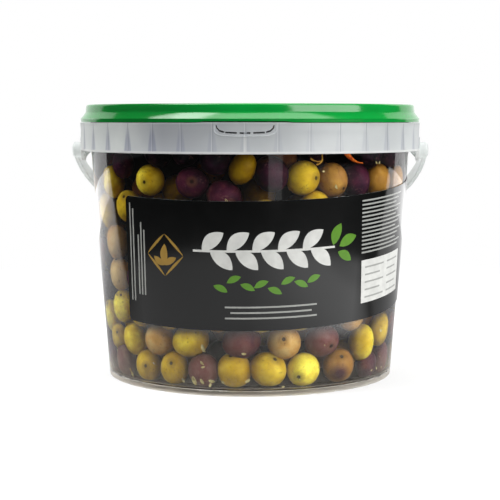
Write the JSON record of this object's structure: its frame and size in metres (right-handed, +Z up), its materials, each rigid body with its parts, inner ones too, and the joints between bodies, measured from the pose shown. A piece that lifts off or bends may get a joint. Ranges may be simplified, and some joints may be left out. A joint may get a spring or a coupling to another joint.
{
  "type": "lidded pail of mixed olives",
  "caption": "Clear plastic pail of mixed olives in brine, with a green press-fit lid, a wrapped dark label and a bail handle that swings over the top.",
  "frame": {"origin": "middle of the foot ring, on the surface the pail stands on", "axes": "+X through the handle's two lugs, -Y towards the tear tab and the front of the label, +Y towards the side where the handle hangs, +Z up"},
  "size_m": [0.209, 0.198, 0.1568],
  "materials": {
    "clear_plastic": "clear polypropylene, slightly hazy",
    "milky_plastic": "natural polypropylene, milky and see-through at its edges",
    "green_plastic": "glossy moulded plastic",
    "label_film": "glossy printed film",
    "olive_yellow": "smooth wet fruit skin",
    "olive_tan": "smooth wet fruit skin",
    "olive_purple": "smooth wet fruit skin",
    "herbs": "soaked dried herb",
    "brine": "clear brown-grey liquid"
  },
  "bodies": {
    "pail_body": {"pail": "clear_plastic", "lid": "green_plastic", "label": "label_film", "olives": "olive_yellow"},
    "handle": {"handle": "milky_plastic"}
  },
  "joints": [
    {"name": "handle_swing", "type": "hinge", "parent": "pail_body", "child": "handle", "pos_m": [0, 0, 0.1307], "axis": [1, 0, 0], "range_deg": [0, 243]}
  ]
}
